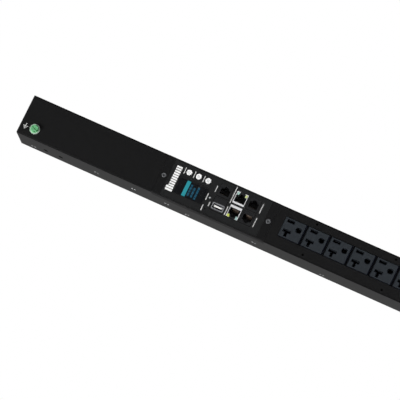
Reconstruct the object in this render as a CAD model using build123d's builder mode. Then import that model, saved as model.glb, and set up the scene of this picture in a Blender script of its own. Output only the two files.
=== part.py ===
from build123d import *
import os

os.makedirs("parts", exist_ok=True)

# Rack power distribution unit: a slim bar that hangs upright at the back of a rack.
# Millimetres. Z runs up the bar, the front faces -Y, and the origin is the middle of the flat back.
# A station is a distance down from the top end, and a depth is a distance behind the front face.

# Bar
body_width = 50.8
body_depth = 50.8
sheet = 1.2
fold_radius = 1.6
edge_break = 0.3

# Layout along the bar
bezel_to_bank = 11.3
outlet_gap = 2.6
outlets_per_bank = 6
bank_gap = 12.3
bottom_section = 95.8

# Clearances between pieces that fit in each other
seat_gap = 0.15
screw_gap = 0.1
jack_gap = 0.4
window_gap = 0.4
button_gap = 0.2
plate_gap = 0.05
overshoot = 1.0

# Sides of the round walls that nothing shows, which keep the face count low
shank_sides = 8
gland_sides = 24

# Screws and nuts of the bar
small_screw_radius = 2.0
press_nut_radius = 3.6
press_nut_height = 2.4
bracket_station = 35.9
bracket_spacing = 20.2
bracket_depth = 31.6

# Ends and back
cap_flange = 24.0
cap_tab_width = 24.0
cap_tab_length = 30.0
button_spacing = 444.5
stud_neck_radius = 3.2
stud_neck = 3.0
stud_head_radius = 5.2
stud_head = 2.2
stud_key = 3.0

# Earth screw
earth_station = 19.15
earth_x = -13.3
earth_washer_radius = 6.3
earth_washer_height = 1.0
earth_flange_radius = 4.9
earth_flange = 0.9
earth_hex = 8.2
earth_hex_height = 2.9
earth_slot = 1.3

# Controller bezel
bezel_station = 182.0
bezel_head = 22.6
bezel_foot = 22.25
bezel_reach = 10.0
bezel_wall = 2.2
bezel_edge = 0.8
bezel_screw_inset = 5.0
bezel_screw_head = 3.35
bezel_screw_head_height = 1.5
bezel_screw_radius = 1.7
column_size = 9.0

# Overlay film on the bezel
overlay_inset = 10.2
overlay_side_inset = 1.9
overlay = 0.25
overlay_corner = 1.2

# Display
display_x = -3.3
display_length = 40.0
display_width = 23.0
display_ledge = 1.0
display_glass = 1.4
display_panel_depth = 3.0

# Push buttons
button_x = 15.45
button_inset = 9.0
button_pitch = 12.65
button_radius = 3.8
button_proud = 0.7
button_flange = 0.9
button_flange_lip = 1.0
button_stem = 3.0
button_travel = 0.5
switch_size = 6.0
switch_height = 3.6

# Status light and reset hole
light_x = -2.7
light_gap = 4.9
light_radius = 1.0
reset_x = -17.2
reset_radius = 0.8

# Boards and their tray
board_depth = 15.0
board = 1.6
board_width = 42.0
board_head = 1.6
board_foot = 9.25
power_board_start = 104.0
power_board_length = 68.0
standoff = 4.8
standoff_radius = 2.6
standoff_neck = 1.4
standoff_head = 2.0
standoff_snap = 1.3
standoff_inset = 4.0
tray_start = 96.0
tray_flange = 11.0

# Jacks
jack_width = 16.2
jack_right_x = 10.9
jack_left_x = -7.3
jack_sink = 0.3
serial_x = 11.6
serial_gap = 5.65
serial_length = 16.3
network_gap = 4.75
network_length = 15.6
sensor_gap = 2.05
sensor_length = 14.9
socket_length = 11.8
socket_width = 8.0
socket_depth = 12.6
latch_length = 6.2
latch_width = 1.5
latch_key_length = 3.6
latch_key_width = 1.2
socket_edge = 3.5
shield_wall = 0.8
shield_strip = 3.0
contact_pitch = 1.02
contact_width = 0.46
contact_thickness = 0.35
contact_lift = 0.7
contact_start = 2.6
contacts_per_jack = 8
jack_light_length = 2.6
jack_light_width = 3.2
jack_light_depth = 1.6
jack_light_spread = 0.6
jack_light_inset = 0.5

# USB port
usb_x = -9.4
usb_block_x = -6.9
usb_block_width = 17.4
usb_block_length = 16.5
usb_length = 14.4
usb_width = 7.2
usb_wall = 0.5
usb_lip = 0.6
usb_lip_depth = 0.5
usb_corner = 0.8
tongue_length = 11.0
tongue_width = 2.2
tongue_shift = 0.4
tongue_start = 1.3
usb_floor = 1.0

# Outlets
outlet_x = 1.7
outlet_length = 27.6
outlet_width = 26.0
outlet_proud = 0.5
outlet_edge = 0.7
outlet_shoulder = 1.95
outlet_back_depth = 24.0
slot_offset_x = 2.5
slot_spacing = 12.7
slot_rise = 6.0
ground_drop = 6.1
slot_width = 2.4
hot_length = 8.2
neutral_length = 9.0
neutral_reach = 6.4
ground_width = 5.6
ground_length = 6.2
slot_depth = 17.0

# Outlet carriers
carrier_plate = 1.9
carrier_side_gap = 1.2
carrier_margin = 2.0
rail = 1.6
rail_depth = 14.0
carrier_post = 5.2
carrier_post_inset = 38.7
# Power path behind the outlets
bar_width = 3.6
bar_thickness = 1.5
sensor_wall = 2.4
sensor_height = 10.0
ring_gap = 0.4
terminal_height = 22.0
terminal_margin = 5.0
terminal_front = 20.0
terminal_hole = 4.6
terminal_hole_depth = 12.0
insulator = 0.8
insulator_width = 40.0
header_length = 8.0
transformer_length = 24.0
transformer_width = 22.0
transformer_height = 11.0
capacitor_size = 9.0
capacitor_height = 9.0

# Cord gland at the lower end
gland_thread_radius = 12.4
gland_neck_radius = 11.0
gland_bore_radius = 8.2
gland_hex = 29.0
gland_flange = 5.0
gland_neck = 8.0
locknut_height = 4.5
locknut_hex = 30.0
seal_bore_radius = 7.5
seal_wall = 2.1
seal_height = 6.5
cap_nut_height = 16.0
cap_nut_hex = 27.0
cap_nut_edge = 2.0
cap_nut_bore_radius = 8.0

# Worked out from the sizes above
display_station = bezel_station + bezel_head + display_length / 2
light_station = bezel_station + bezel_head + display_length + light_gap
serial_station = light_station + serial_gap + serial_length / 2
network_station = serial_station + (serial_length + network_length) / 2 + network_gap
sensor_station = network_station + (network_length + sensor_length) / 2 + sensor_gap
bezel_length = sensor_station + sensor_length / 2 + bezel_foot - bezel_station
top_section = bezel_station + bezel_length + bezel_to_bank
outlet_pitch = outlet_length + outlet_gap
bank_length = outlet_pitch * outlets_per_bank
bank_starts = [top_section, top_section + bank_length + bank_gap]
bank_end = bank_starts[-1] + bank_length
body_length = bank_end + bottom_section
half_length = body_length / 2
half_width = body_width / 2
side_inner = half_width - sheet
seat_x = side_inner - seat_gap
back_inner = body_depth - sheet
back_flange = body_depth - bracket_depth - press_nut_radius - window_gap
bezel_end = bezel_station + bezel_length
bezel_middle = bezel_station + bezel_length / 2
bezel_screws_at = [bezel_station + bezel_screw_inset, bezel_end - bezel_screw_inset]
tray_end = bezel_end + column_size / 2
board_start = bezel_station + bezel_head - board_head
board_length = sensor_station + sensor_length / 2 + board_foot - board_start
carrier_width = 2 * (side_inner - carrier_side_gap)
post_x = (carrier_width - carrier_post) / 2
face_width = jack_width - shield_strip - shield_wall
tray_depth = board_depth + board + standoff
first_button = bezel_station + bezel_head + button_inset
button_stations = [first_button + i * button_pitch for i in range(3)]
glass_depth = overlay + display_glass
window_length = bank_length - outlet_pitch + outlet_length + 2 * window_gap
window_width = outlet_width + 2 * window_gap
plate_depth = sheet + plate_gap
shoulder_depth = plate_depth + carrier_plate
outlet_body_width = outlet_width + 2 * outlet_shoulder
hot_x = outlet_x + slot_offset_x + slot_spacing / 2
neutral_x = hot_x - slot_spacing
ground_x = outlet_x + slot_offset_x
terminal_start = bank_end + sensor_height + 2 * terminal_margin
bar_start = power_board_start + power_board_length - 2 * header_length
bracket_stations = [bracket_station, bracket_station + bracket_spacing]
bracket_stations += [body_length - station for station in bracket_stations]
stud_stations = [half_length - button_spacing / 2, half_length + button_spacing / 2]


def shank(radius):
    """A hidden screw's shank: a many-sided outline inside its circle."""
    RegularPolygon(radius, shank_sides)


def shank_hole(radius, mode=Mode.ADD):
    """A hidden screw's hole: a many-sided outline outside its circle."""
    RegularPolygon(radius, shank_sides, major_radius=False, mode=mode)


def front_plane(depth):
    """Plane behind the front face at a depth: X across, Y down from the top end, facing inwards."""
    origin = (0, depth - body_depth, half_length)
    return Plane(origin=origin, x_dir=(1, 0, 0), z_dir=(0, 1, 0))


def side_plane(x):
    """Plane along a side wall: X is the depth, Y is down from the top end, facing -X."""
    return Plane(origin=(x, -body_depth, half_length), x_dir=(0, 1, 0), z_dir=(-1, 0, 0))


def end_plane(station, facing=-1):
    """Plane across the bar at a station: X across, and Z up or down as facing says."""
    origin = (0, 0, half_length - station)
    return Plane(origin=origin, x_dir=(1, 0, 0), z_dir=(0, 0, facing))


def outlet_stations(bank):
    """Middles of the outlets of one bank."""
    return [bank + outlet_pitch * (i + 0.5) for i in range(outlets_per_bank)]


def carrier_posts(bank):
    """The four posts of one carrier that its screws go into, as places on a front plane."""
    stations = [bank + carrier_post_inset, bank + bank_length - carrier_post_inset]
    return [(x, station) for x in (-post_x, post_x) for station in stations]


# Front channel: one sheet folded into the front face and the two sides
with BuildPart() as front_channel:
    with BuildSketch(Plane.XY.offset(-half_length)):
        with BuildLine():
            fold_x = half_width - sheet / 2
            fold_y = sheet / 2 - body_depth
            FilletPolyline(
                (-fold_x, 0), (-fold_x, fold_y), (fold_x, fold_y), (fold_x, 0),
                radius=fold_radius - sheet / 2,
            )
        trace(line_width=sheet)
    extrude(amount=body_length)
    with BuildSketch(front_plane(-overshoot)):
        with Locations((0, bezel_middle)):
            Rectangle(body_width + 2 * overshoot, bezel_length + 2 * seat_gap)
    extrude(amount=bezel_reach + overshoot, mode=Mode.SUBTRACT)
    with BuildSketch(front_plane(0)):
        for bank in bank_starts:
            with Locations((outlet_x, bank + bank_length / 2)):
                Rectangle(window_width, window_length)
        with Locations((earth_x, earth_station)):
            shank_hole(small_screw_radius + screw_gap)
    extrude(amount=2 * sheet, mode=Mode.SUBTRACT)
    for side in (-1, 1):
        with BuildSketch(side_plane(side * half_width)):
            with Locations(*[(bracket_depth, station) for station in bracket_stations]):
                Circle(small_screw_radius + screw_gap)
        extrude(amount=side * 2 * sheet, mode=Mode.SUBTRACT)
front_channel.part.label = "front_channel"
export_step(front_channel.part, "parts/front_channel.step")

# Back plate: it closes the back between the sides and carries the mounting buttons
plate_length = body_length - 2 * (sheet + seat_gap)
with BuildPart() as back_plate:
    with BuildSketch(front_plane(back_inner)):
        with Locations((0, half_length)):
            Rectangle(2 * seat_x, plate_length)
        with Locations(*[(0, station) for station in stud_stations]):
            shank_hole(small_screw_radius + screw_gap, Mode.SUBTRACT)
    extrude(amount=sheet)
back_plate.part.label = "back_plate"
export_step(back_plate.part, "parts/back_plate.step")

# Back strips: they are welded to the plate's edges and clinched to the sides
strip_length = body_length - 2 * (cap_flange + sheet)
for name, side in (("back_strip_left", -1), ("back_strip_right", 1)):
    with BuildPart() as back_strip:
        with BuildSketch(front_plane(body_depth - back_flange)):
            with Locations((side * (seat_x - sheet / 2), half_length)):
                Rectangle(sheet, strip_length)
        extrude(amount=back_flange - sheet)
    back_strip.part.label = name
    export_step(back_strip.part, f"parts/{name}.step")


def end_cap(station, inwards):
    """End plate with two side flanges and a front tab, as a part that the caller finishes."""
    cap_y = (sheet + seat_gap - body_depth) / 2
    cap_height = body_depth - sheet - seat_gap
    with BuildPart() as cap:
        with BuildSketch(end_plane(station, inwards)):
            with Locations((0, inwards * cap_y)):
                RectangleRounded(2 * seat_x, cap_height, edge_break)
        extrude(amount=sheet)
        with BuildSketch(end_plane(station, inwards)):
            flange_y = (sheet + seat_gap - body_depth - fold_radius) / 2
            flange_height = body_depth - sheet - seat_gap - fold_radius
            for side in (-1, 1):
                with Locations((side * (seat_x - sheet / 2), inwards * flange_y)):
                    Rectangle(sheet, flange_height)
        extrude(amount=cap_flange)
        with BuildSketch(end_plane(station, inwards)):
            tab_y = sheet + seat_gap + sheet / 2 - body_depth
            with Locations((earth_x, inwards * tab_y)):
                Rectangle(cap_tab_width - 2 * fold_radius, sheet)
        extrude(amount=cap_tab_length)
    return cap.part


# End caps: the upper one takes the earth screw through its tab, the lower one takes the gland
with BuildPart() as top_end_cap:
    add(end_cap(0, -1))
    with BuildSketch(front_plane(0)):
        with Locations((earth_x, earth_station)):
            shank_hole(small_screw_radius + screw_gap)
    extrude(amount=4 * sheet, mode=Mode.SUBTRACT)
top_end_cap.part.label = "top_end_cap"
export_step(top_end_cap.part, "parts/top_end_cap.step")

gland_y = -body_depth / 2
with BuildPart() as bottom_end_cap:
    add(end_cap(body_length, 1))
    with BuildSketch(Plane.XY.offset(-half_length)):
        with Locations((0, gland_y)):
            RegularPolygon(gland_thread_radius + screw_gap, gland_sides)
    extrude(amount=2 * sheet, mode=Mode.SUBTRACT)
bottom_end_cap.part.label = "bottom_end_cap"
export_step(bottom_end_cap.part, "parts/bottom_end_cap.step")

# Press nuts: behind the bracket holes, behind the mounting buttons and behind the earth screw
nut_back = body_depth - sheet
tab_back = 2 * sheet + seat_gap


def nut_outline():
    """Six-sided nut with a six-sided hole that just clears its screw."""
    RegularPolygon(press_nut_radius, 6)
    RegularPolygon(small_screw_radius + screw_gap, 6, major_radius=False, mode=Mode.SUBTRACT)


with BuildPart() as press_nuts:
    for side in (-1, 1):
        with BuildSketch(side_plane(side * side_inner)):
            with Locations(*[(bracket_depth, station) for station in bracket_stations]):
                nut_outline()
        extrude(amount=side * press_nut_height)
    with BuildSketch(front_plane(nut_back)):
        with Locations(*[(0, station) for station in stud_stations]):
            nut_outline()
    extrude(amount=-press_nut_height)
    with BuildSketch(front_plane(tab_back)):
        with Locations((earth_x, earth_station)):
            nut_outline()
    extrude(amount=press_nut_height)
press_nuts.part.label = "press_nuts"
export_step(press_nuts.part, "parts/press_nuts.step")

# Mounting buttons: shouldered studs that drop into keyhole slots in the rack
with BuildPart() as mounting_buttons:
    with BuildSketch(front_plane(nut_back - press_nut_height)):
        with Locations(*[(0, station) for station in stud_stations]):
            shank(small_screw_radius)
    extrude(amount=press_nut_height + sheet)
    with BuildSketch(front_plane(body_depth)):
        with Locations(*[(0, station) for station in stud_stations]):
            Circle(stud_neck_radius)
    extrude(amount=stud_neck)
    with BuildSketch(front_plane(body_depth + stud_neck)):
        with Locations(*[(0, station) for station in stud_stations]):
            Circle(stud_head_radius)
    extrude(amount=stud_head)
    with BuildSketch(front_plane(body_depth + stud_neck + stud_head)):
        with Locations(*[(0, station) for station in stud_stations]):
            RegularPolygon(stud_key / 2, 6, major_radius=False)
    extrude(amount=-stud_head, mode=Mode.SUBTRACT)
mounting_buttons.part.label = "mounting_buttons"
export_step(mounting_buttons.part, "parts/mounting_buttons.step")

# Earth screw: slotted hexagon head with a flange, over a plain washer
with BuildPart() as earth_washer:
    with BuildSketch(front_plane(-earth_washer_height)):
        with Locations((earth_x, earth_station)):
            Circle(earth_washer_radius)
            shank_hole(small_screw_radius + screw_gap, Mode.SUBTRACT)
    extrude(amount=earth_washer_height)
earth_washer.part.label = "earth_washer"
export_step(earth_washer.part, "parts/earth_washer.step")

with BuildPart() as earth_screw:
    head_seat = -earth_washer_height
    with BuildSketch(front_plane(head_seat)):
        with Locations((earth_x, earth_station)):
            Circle(earth_flange_radius)
    extrude(amount=-earth_flange)
    with BuildSketch(front_plane(head_seat - earth_flange)):
        with Locations((earth_x, earth_station)):
            RegularPolygon(earth_hex / 2, 6, major_radius=False)
    extrude(amount=-earth_hex_height)
    with BuildSketch(front_plane(head_seat - earth_flange - earth_hex_height)):
        with Locations((earth_x, earth_station)):
            Rectangle(2 * earth_flange_radius, earth_slot)
    extrude(amount=earth_hex_height / 2, mode=Mode.SUBTRACT)
    with BuildSketch(front_plane(head_seat)):
        with Locations((earth_x, earth_station)):
            shank(small_screw_radius)
    extrude(amount=earth_washer_height + tab_back + press_nut_height + overshoot)
earth_screw.part.label = "earth_screw"
export_step(earth_screw.part, "parts/earth_screw.step")

# Jack windows in the bezel and the overlay, as places and sizes on a front plane
jack_windows = [
    (serial_x, serial_station, jack_width, serial_length),
    (usb_block_x, serial_station, usb_block_width, usb_block_length),
    (jack_right_x, network_station, jack_width, network_length),
    (jack_left_x, network_station, jack_width, network_length),
    (jack_right_x, sensor_station, jack_width, sensor_length),
    (jack_left_x, sensor_station, jack_width, sensor_length),
]

# Controller bezel: a moulded cap in place of the front wall, with two screw columns to the tray
skirt_depth = bezel_reach - seat_gap
with BuildPart() as controller_bezel:
    with BuildSketch(front_plane(0)):
        with Locations((0, bezel_middle)):
            Rectangle(body_width, bezel_length)
    extrude(amount=skirt_depth)
    long_edges = controller_bezel.edges().filter_by(Axis.Z).group_by(Axis.Y)[0]
    fillet(long_edges, bezel_edge)
    with BuildSketch(front_plane(bezel_wall)):
        with Locations((0, bezel_middle)):
            Rectangle(body_width - 2 * bezel_wall, bezel_length - 2 * bezel_wall)
    extrude(amount=skirt_depth, mode=Mode.SUBTRACT)
    with BuildSketch(front_plane(bezel_wall)):
        with Locations(*[(0, station) for station in bezel_screws_at]):
            Rectangle(column_size, column_size)
    extrude(amount=tray_depth - bezel_wall)
    with BuildSketch(front_plane(0)):
        with Locations((0, bezel_middle)):
            overlay_width = body_width - 2 * overlay_side_inset
            overlay_length = bezel_length - 2 * overlay_inset
            RectangleRounded(overlay_width, overlay_length, overlay_corner)
    extrude(amount=overlay, mode=Mode.SUBTRACT)
    with BuildSketch(front_plane(0)):
        with Locations((display_x, display_station)):
            Rectangle(display_width - 2 * display_ledge, display_length - 2 * display_ledge)
        with Locations(*[(button_x, station) for station in button_stations]):
            Circle(button_radius + button_gap)
        with Locations((light_x, light_station)):
            Circle(light_radius + screw_gap)
        with Locations((reset_x, light_station)):
            Circle(reset_radius)
        for x, station, width, length in jack_windows:
            with Locations((x, station)):
                Rectangle(width + 2 * jack_gap, length + 2 * jack_gap)
        with Locations(*[(0, station) for station in bezel_screws_at]):
            shank_hole(bezel_screw_radius + screw_gap)
    extrude(amount=tray_depth + overshoot, mode=Mode.SUBTRACT)
    with BuildSketch(front_plane(0)):
        with Locations((display_x, display_station)):
            pocket_width = display_width + 2 * seat_gap
            pocket_length = display_length + 2 * seat_gap
            Rectangle(pocket_width, pocket_length)
    extrude(amount=glass_depth, mode=Mode.SUBTRACT)
    with BuildSketch(front_plane(0)):
        with Locations(*[(0, station) for station in bezel_screws_at]):
            Circle(bezel_screw_head + screw_gap)
    extrude(amount=bezel_screw_head_height, mode=Mode.SUBTRACT)
controller_bezel.part.label = "controller_bezel"
export_step(controller_bezel.part, "parts/controller_bezel.step")

# Overlay: the film over the middle of the bezel, cut out round everything that comes through it
with BuildPart() as control_overlay:
    with BuildSketch(front_plane(0)):
        with Locations((0, bezel_middle)):
            film_width = overlay_width - 2 * seat_gap
            film_length = overlay_length - 2 * seat_gap
            RectangleRounded(film_width, film_length, overlay_corner)
        with Locations((display_x, display_station)):
            Rectangle(pocket_width, pocket_length, mode=Mode.SUBTRACT)
        with Locations(*[(button_x, station) for station in button_stations]):
            Circle(button_radius + button_gap, mode=Mode.SUBTRACT)
        with Locations((light_x, light_station)):
            Circle(light_radius + screw_gap, mode=Mode.SUBTRACT)
        with Locations((reset_x, light_station)):
            Circle(reset_radius, mode=Mode.SUBTRACT)
        for x, station, width, length in jack_windows:
            with Locations((x, station)):
                Rectangle(width + 2 * jack_gap, length + 2 * jack_gap, mode=Mode.SUBTRACT)
    extrude(amount=overlay)
control_overlay.part.label = "control_overlay"
export_step(control_overlay.part, "parts/control_overlay.step")

# Bezel screws: flat heads flush with the bezel, threaded into the tray
with BuildPart() as bezel_screws:
    with BuildSketch(front_plane(0)):
        with Locations(*[(0, station) for station in bezel_screws_at]):
            Circle(bezel_screw_head)
    extrude(amount=bezel_screw_head_height)
    with BuildSketch(front_plane(bezel_screw_head_height)):
        with Locations(*[(0, station) for station in bezel_screws_at]):
            shank(bezel_screw_radius)
    extrude(amount=tray_depth + sheet - bezel_screw_head_height)
bezel_screws.part.label = "bezel_screws"
export_step(bezel_screws.part, "parts/bezel_screws.step")

# Display: a window flush with the overlay, and the panel that it covers
with BuildPart() as display_window:
    with BuildSketch(front_plane(0)):
        with Locations((display_x, display_station)):
            Rectangle(display_width, display_length)
    extrude(amount=glass_depth)
    window_rim = display_window.faces().sort_by(Axis.Y)[0].edges()
    chamfer(window_rim, edge_break)
display_window.part.label = "display_window"
export_step(display_window.part, "parts/display_window.step")

with BuildPart() as display_panel:
    with BuildSketch(front_plane(bezel_wall)):
        with Locations((display_x, display_station)):
            Rectangle(display_width, display_length)
    extrude(amount=display_panel_depth)
display_panel.part.label = "display_panel"
export_step(display_panel.part, "parts/display_panel.step")


# Push buttons: a round cap, a square flange that keeps it behind the bezel and a stem to its switch
stem_end = board_depth - switch_height - button_travel - button_gap
flange_depth = bezel_wall + button_gap
for name, station in zip(("upper_button", "middle_button", "lower_button"), button_stations):
    with BuildPart() as push_button:
        with BuildSketch(front_plane(-button_proud)):
            with Locations((button_x, station)):
                Circle(button_radius)
        extrude(amount=button_proud + flange_depth)
        cap_rim = push_button.edges().filter_by(GeomType.CIRCLE).sort_by(Axis.Y)[0]
        chamfer(cap_rim, edge_break)
        with BuildSketch(front_plane(flange_depth)):
            with Locations((button_x, station)):
                flange_size = 2 * (button_radius + button_flange_lip)
                Rectangle(flange_size, flange_size)
        extrude(amount=button_flange)
        with BuildSketch(front_plane(flange_depth + button_flange)):
            with Locations((button_x, station)):
                Rectangle(button_stem, button_stem)
        extrude(amount=stem_end - flange_depth - button_flange)
    push_button.part.label = name
    export_step(push_button.part, f"parts/{name}.step")

# Status light: a light pipe that stands on the board and ends flush with the overlay
with BuildPart() as status_light:
    with BuildSketch(front_plane(0)):
        with Locations((light_x, light_station)):
            Circle(light_radius)
    extrude(amount=board_depth)
status_light.part.label = "status_light"
export_step(status_light.part, "parts/status_light.step")


def latch_socket(x, station, way):
    """Socket outline: the plug's rectangle and two steps for its latch, on the side that way gives."""
    wall = x - way * jack_width / 2
    low = wall + way * socket_edge
    for size, length, start in (
        (socket_width, socket_length, 0),
        (latch_width, latch_length, socket_width),
        (latch_key_width, latch_key_length, socket_width + latch_width),
    ):
        with Locations((low + way * (start + size / 2), station)):
            Rectangle(size, length)


def socket_contacts_x(x, way):
    """Middle of the contacts' thickness in one jack."""
    return x - way * (jack_width / 2 - socket_edge - contact_lift - contact_thickness / 2)


# Jacks: a block with a stepped socket, standing on the board behind the bezel
jacks = {
    "serial_jack": (serial_x, serial_station, serial_length, 1),
    "network_jack_right": (jack_right_x, network_station, network_length, 1),
    "network_jack_left": (jack_left_x, network_station, network_length, -1),
    "sensor_jack_right": (jack_right_x, sensor_station, sensor_length, 1),
    "sensor_jack_left": (jack_left_x, sensor_station, sensor_length, -1),
}


def jack_light_places(x, station, way):
    """The two light windows beside the latch steps of a network jack."""
    light_at = x + way * (jack_width / 2 - shield_wall - jack_light_inset - jack_light_width / 2)
    reach = (socket_length - jack_light_length) / 2 + jack_light_spread
    return [(light_at, station - reach), (light_at, station + reach)]


def shield_face(x, station, way, gap):
    """Window in the front of a shield, and with a gap the face that stands in it."""
    with Locations((x + way * (shield_strip - shield_wall) / 2, station)):
        Rectangle(face_width - 2 * gap, network_length - 2 * (shield_wall + gap))


lights_at = jack_light_places(jack_right_x, network_station, 1)
lights_at += jack_light_places(jack_left_x, network_station, -1)
for name, (x, station, length, way) in jacks.items():
    shielded = name.startswith("network")
    with BuildPart() as jack:
        if shielded:
            back_width = jack_width - 2 * (shield_wall + plate_gap)
            back_length = length - 2 * (shield_wall + plate_gap)
            with BuildSketch(front_plane(jack_sink)):
                shield_face(x, station, way, plate_gap)
            extrude(amount=shield_wall + plate_gap)
            with BuildSketch(front_plane(jack_sink + shield_wall + plate_gap)):
                with Locations((x, station)):
                    Rectangle(back_width, back_length)
            extrude(amount=board_depth - jack_sink - shield_wall - plate_gap)
            with BuildSketch(front_plane(jack_sink)):
                with Locations(*jack_light_places(x, station, way)):
                    Rectangle(jack_light_width, jack_light_length)
            extrude(amount=jack_light_depth, mode=Mode.SUBTRACT)
        else:
            with BuildSketch(front_plane(jack_sink)):
                with Locations((x, station)):
                    Rectangle(jack_width, length)
            extrude(amount=board_depth - jack_sink)
        with BuildSketch(front_plane(jack_sink)):
            latch_socket(x, station, way)
        extrude(amount=socket_depth, mode=Mode.SUBTRACT)
    jack.part.label = name
    export_step(jack.part, f"parts/{name}.step")

# Shields: a sheet tube round each network jack, with a wide strip in front beside the contacts
for name, x, way in (
    ("network_shield_right", jack_right_x, 1),
    ("network_shield_left", jack_left_x, -1),
):
    with BuildPart() as jack_shield:
        with BuildSketch(front_plane(jack_sink)):
            with Locations((x, network_station)):
                Rectangle(jack_width, network_length)
        extrude(amount=board_depth - jack_sink)
        with BuildSketch(front_plane(jack_sink + shield_wall)):
            with Locations((x, network_station)):
                Rectangle(jack_width - 2 * shield_wall, network_length - 2 * shield_wall)
        extrude(amount=board_depth, mode=Mode.SUBTRACT)
        with BuildSketch(front_plane(jack_sink)):
            shield_face(x, network_station, way, 0)
        extrude(amount=2 * shield_wall, mode=Mode.SUBTRACT)
    jack_shield.part.label = name
    export_step(jack_shield.part, f"parts/{name}.step")

with BuildPart() as network_lights:
    with BuildSketch(front_plane(jack_sink)):
        with Locations(*lights_at):
            light_across = jack_light_width - 2 * screw_gap
            Rectangle(light_across, jack_light_length - 2 * screw_gap)
    extrude(amount=jack_light_depth)
network_lights.part.label = "network_lights"
export_step(network_lights.part, "parts/network_lights.step")

# Contacts: eight springs in each socket, along the wall away from the latch
with BuildPart() as jack_contacts:
    with BuildSketch(front_plane(contact_start)):
        for x, station, length, way in jacks.values():
            with Locations((socket_contacts_x(x, way), station)):
                with GridLocations(1, contact_pitch, 1, contacts_per_jack):
                    Rectangle(contact_thickness, contact_width)
    extrude(amount=jack_sink + socket_depth - contact_start)
jack_contacts.part.label = "jack_contacts"
export_step(jack_contacts.part, "parts/jack_contacts.step")

# USB block: the black moulding that the USB shell goes through
with BuildPart() as usb_surround:
    with BuildSketch(front_plane(usb_lip_depth)):
        with Locations((usb_block_x, serial_station)):
            Rectangle(usb_block_width, usb_block_length)
        with Locations((usb_x, serial_station)):
            hole_width = usb_width + 2 * screw_gap
            Rectangle(hole_width, usb_length + 2 * screw_gap, mode=Mode.SUBTRACT)
    extrude(amount=board_depth - usb_lip_depth)
usb_surround.part.label = "usb_surround"
export_step(usb_surround.part, "parts/usb_surround.step")

# USB port: a drawn shell with a turned-out lip, and the tongue inside it
usb_floor_depth = board_depth - usb_floor
with BuildPart() as usb_port:
    with BuildSketch(front_plane(0)):
        with Locations((usb_x, serial_station)):
            RectangleRounded(usb_width + 2 * usb_lip, usb_length + 2 * usb_lip, usb_corner + usb_lip)
    extrude(amount=usb_lip_depth)
    with BuildSketch(front_plane(usb_lip_depth)):
        with Locations((usb_x, serial_station)):
            RectangleRounded(usb_width, usb_length, usb_corner)
    extrude(amount=board_depth - usb_lip_depth)
    with BuildSketch(front_plane(0)):
        with Locations((usb_x, serial_station)):
            RectangleRounded(usb_width - 2 * usb_wall, usb_length - 2 * usb_wall, usb_corner / 2)
    extrude(amount=usb_floor_depth, mode=Mode.SUBTRACT)
usb_port.part.label = "usb_port"
export_step(usb_port.part, "parts/usb_port.step")

with BuildPart() as usb_tongue:
    with BuildSketch(front_plane(tongue_start)):
        with Locations((usb_x + tongue_shift, serial_station)):
            Rectangle(tongue_width, tongue_length)
    extrude(amount=usb_floor_depth - tongue_start)
    tongue_rim = usb_tongue.faces().sort_by(Axis.Y)[0].edges()
    chamfer(tongue_rim, edge_break)
usb_tongue.part.label = "usb_tongue"
export_step(usb_tongue.part, "parts/usb_tongue.step")


def standoff_places(start, length):
    """The four standoffs of one board."""
    x = board_width / 2 - standoff_inset
    ends = (start + standoff_inset, start + length - standoff_inset)
    return [(side * x, station) for side in (-1, 1) for station in ends]


# Controller board: it carries the jacks, the switches under the buttons and the display's header
with BuildPart() as controller_board:
    with BuildSketch(front_plane(board_depth)):
        with Locations((0, board_start + board_length / 2)):
            Rectangle(board_width, board_length)
        with Locations(*standoff_places(board_start, board_length)):
            RegularPolygon(standoff_neck + screw_gap, 6, mode=Mode.SUBTRACT)
    extrude(amount=board)
    with BuildSketch(front_plane(board_depth)):
        with Locations(*[(button_x, station) for station in button_stations]):
            Rectangle(switch_size, switch_size)
    extrude(amount=-switch_height)
    with BuildSketch(front_plane(board_depth)):
        with Locations((display_x, display_station)):
            Rectangle(switch_size, display_length / 2)
    extrude(amount=bezel_wall + display_panel_depth - board_depth)
controller_board.part.label = "controller_board"
export_step(controller_board.part, "parts/controller_board.step")

# Power supply board: a transformer and capacitors in front, a header behind that meets the bars
power_middle = power_board_start + power_board_length / 2
header_station = bar_start + header_length / 2
header_x = (hot_x + neutral_x) / 2
header_width = hot_x - neutral_x + bar_width
with BuildPart() as power_supply_board:
    with BuildSketch(front_plane(board_depth)):
        with Locations((0, power_middle)):
            Rectangle(board_width, power_board_length)
        with Locations(*standoff_places(power_board_start, power_board_length)):
            RegularPolygon(standoff_neck + screw_gap, 6, mode=Mode.SUBTRACT)
    extrude(amount=board)
    with BuildSketch(front_plane(board_depth)):
        with Locations((0, power_middle - transformer_length / 2)):
            Rectangle(transformer_width, transformer_length)
    extrude(amount=-transformer_height)
    with BuildSketch(front_plane(board_depth)):
        with Locations((0, power_middle + (transformer_length + capacitor_size) / 2)):
            with GridLocations(1.5 * capacitor_size, 1, 2, 1):
                Rectangle(capacitor_size, capacitor_size)
    extrude(amount=-capacitor_height)
    with BuildSketch(front_plane(board_depth + board)):
        with Locations((header_x, header_station)):
            Rectangle(header_width, header_length)
    extrude(amount=outlet_back_depth - board_depth - board)
power_supply_board.part.label = "power_supply_board"
export_step(power_supply_board.part, "parts/power_supply_board.step")

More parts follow.
